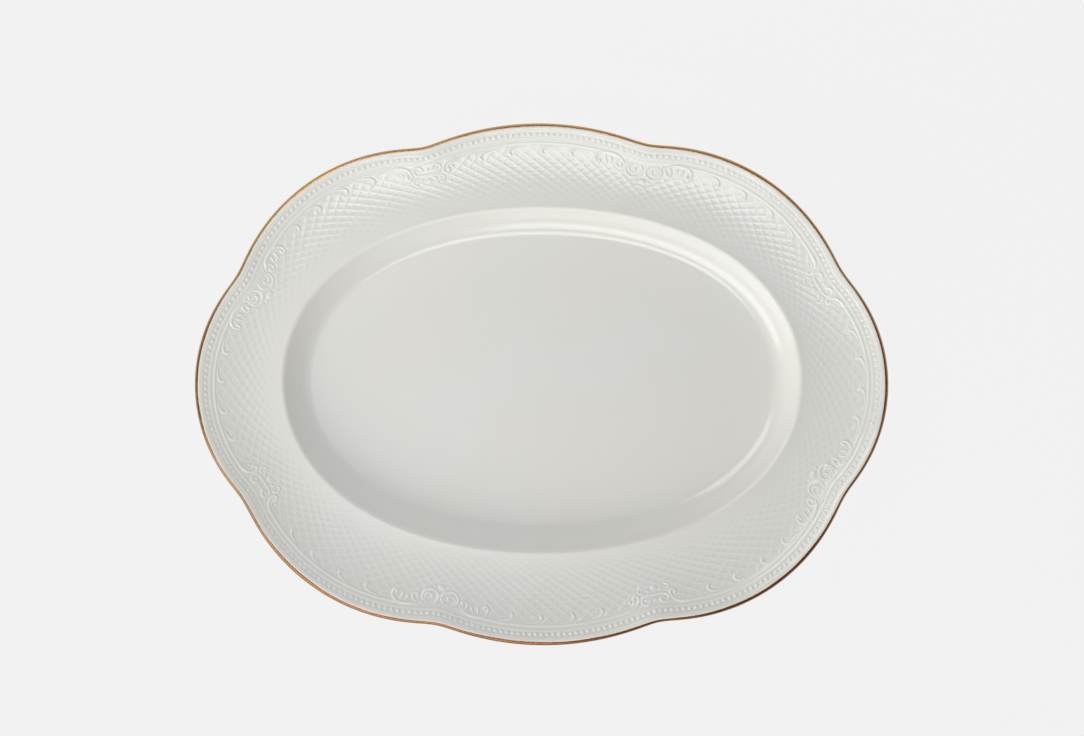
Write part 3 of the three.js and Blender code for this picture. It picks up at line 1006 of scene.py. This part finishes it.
def add_surroundings(scene):
    """The room: bright overhead and at floor level, dimmer between, where the gold mirrors it."""
    world = bpy.data.worlds.new("studio")
    world.use_nodes = True
    tree = world.node_tree
    tree.nodes.clear()
    where = add_node(tree, "ShaderNodeTexCoord").outputs["Generated"]
    height = add_node(tree, "ShaderNodeSeparateXYZ", None, {"Vector": where})
    upward = add_node(tree, "ShaderNodeMapRange", {"From Min": 0.2, "From Max": 0.3},
                      {"Value": height.outputs["Z"]})
    across = add_node(tree, "ShaderNodeVectorMath", {1: (-0.34, 0.94, 0.0)}, {0: where},
                      operation="DOT_PRODUCT")
    lit_side = add_node(tree, "ShaderNodeMapRange", {"From Min": -0.4, "From Max": 0.5},
                        {"Value": across.outputs["Value"]})
    walls = add_node(tree, "ShaderNodeMix", {6: linear("#5A5A5A"), 7: linear("#7C7C7C")},
                     {0: lit_side.outputs["Result"]}, data_type="RGBA")
    band = add_node(tree, "ShaderNodeMix", {6: linear("#F2F2F2")},
                    {0: upward.outputs["Result"], 7: walls.outputs[2]}, data_type="RGBA")
    straight_up = add_node(tree, "ShaderNodeMapRange", {"From Min": 0.96, "From Max": 0.99},
                           {"Value": height.outputs["Z"]})
    room = add_node(tree, "ShaderNodeMix", {7: linear("#E2E2E2")},
                    {0: straight_up.outputs["Result"], 6: band.outputs[2]}, data_type="RGBA")
    sky = add_node(tree, "ShaderNodeBackground", {"Strength": 1.0}, {"Color": room.outputs[2]})
    add_node(tree, "ShaderNodeOutputWorld", None, {"Surface": sky.outputs["Background"]})
    scene.world = world


def add_camera(scene, setup, middle):
    """A long lens above the platter, leaning a little towards its far side."""
    lens = bpy.data.cameras.new("view")
    lens.sensor_width = 36.0
    lens.lens = setup.camera_lens
    lens.clip_end = 100.0
    camera = bpy.data.objects.new("view", lens)
    tilt = setup.camera_tilt
    right, far, up = CAMERA_AIM
    aim = np.array([middle[0] + right, middle[1] + far / math.cos(tilt), middle[2] + up])
    camera.location = aim + setup.camera_distance * np.array([0, math.sin(tilt), math.cos(tilt)])
    camera.rotation_euler = (-tilt, 0, 0)
    scene.collection.objects.link(camera)
    scene.camera = camera


class PLATTER_PT_build(bpy.types.Panel):
    """The platter's pieces and its stage"""
    bl_idname = "PLATTER_PT_build"
    bl_label = "Serving platter"
    bl_space_type = "VIEW_3D"
    bl_region_type = "UI"
    bl_category = "Platter"

    def draw(self, context):
        layout = self.layout
        for operator in OPERATORS:
            layout.operator(operator.bl_idname)
        for group in (context.scene.platter_sizes, context.scene.platter_colours,
                      context.scene.platter_stage):
            box = layout.box()
            for name in group.__annotations__:
                box.prop(group, name)


OPERATORS = (PLATTER_OT_rim, PLATTER_OT_well, PLATTER_OT_foot, PLATTER_OT_gilding, PLATTER_OT_stage)
GROUPS = (PlatterSizes, PlatterColours, PlatterStage)


def register():
    for kind in (*GROUPS, *OPERATORS, PLATTER_PT_build):
        bpy.utils.register_class(kind)
    bpy.types.Scene.platter_sizes = PointerProperty(type=PlatterSizes)
    bpy.types.Scene.platter_colours = PointerProperty(type=PlatterColours)
    bpy.types.Scene.platter_stage = PointerProperty(type=PlatterStage)


def unregister():
    del bpy.types.Scene.platter_stage
    del bpy.types.Scene.platter_colours
    del bpy.types.Scene.platter_sizes
    for kind in (PLATTER_PT_build, *reversed(OPERATORS), *reversed(GROUPS)):
        bpy.utils.unregister_class(kind)


def main():
    """Registers the add-on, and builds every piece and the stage."""
    register()
    bpy.ops.platter.rim()
    bpy.ops.platter.well()
    bpy.ops.platter.foot()
    bpy.ops.platter.gilding()
    bpy.ops.platter.stage()


if __name__ == "__main__":
    main()
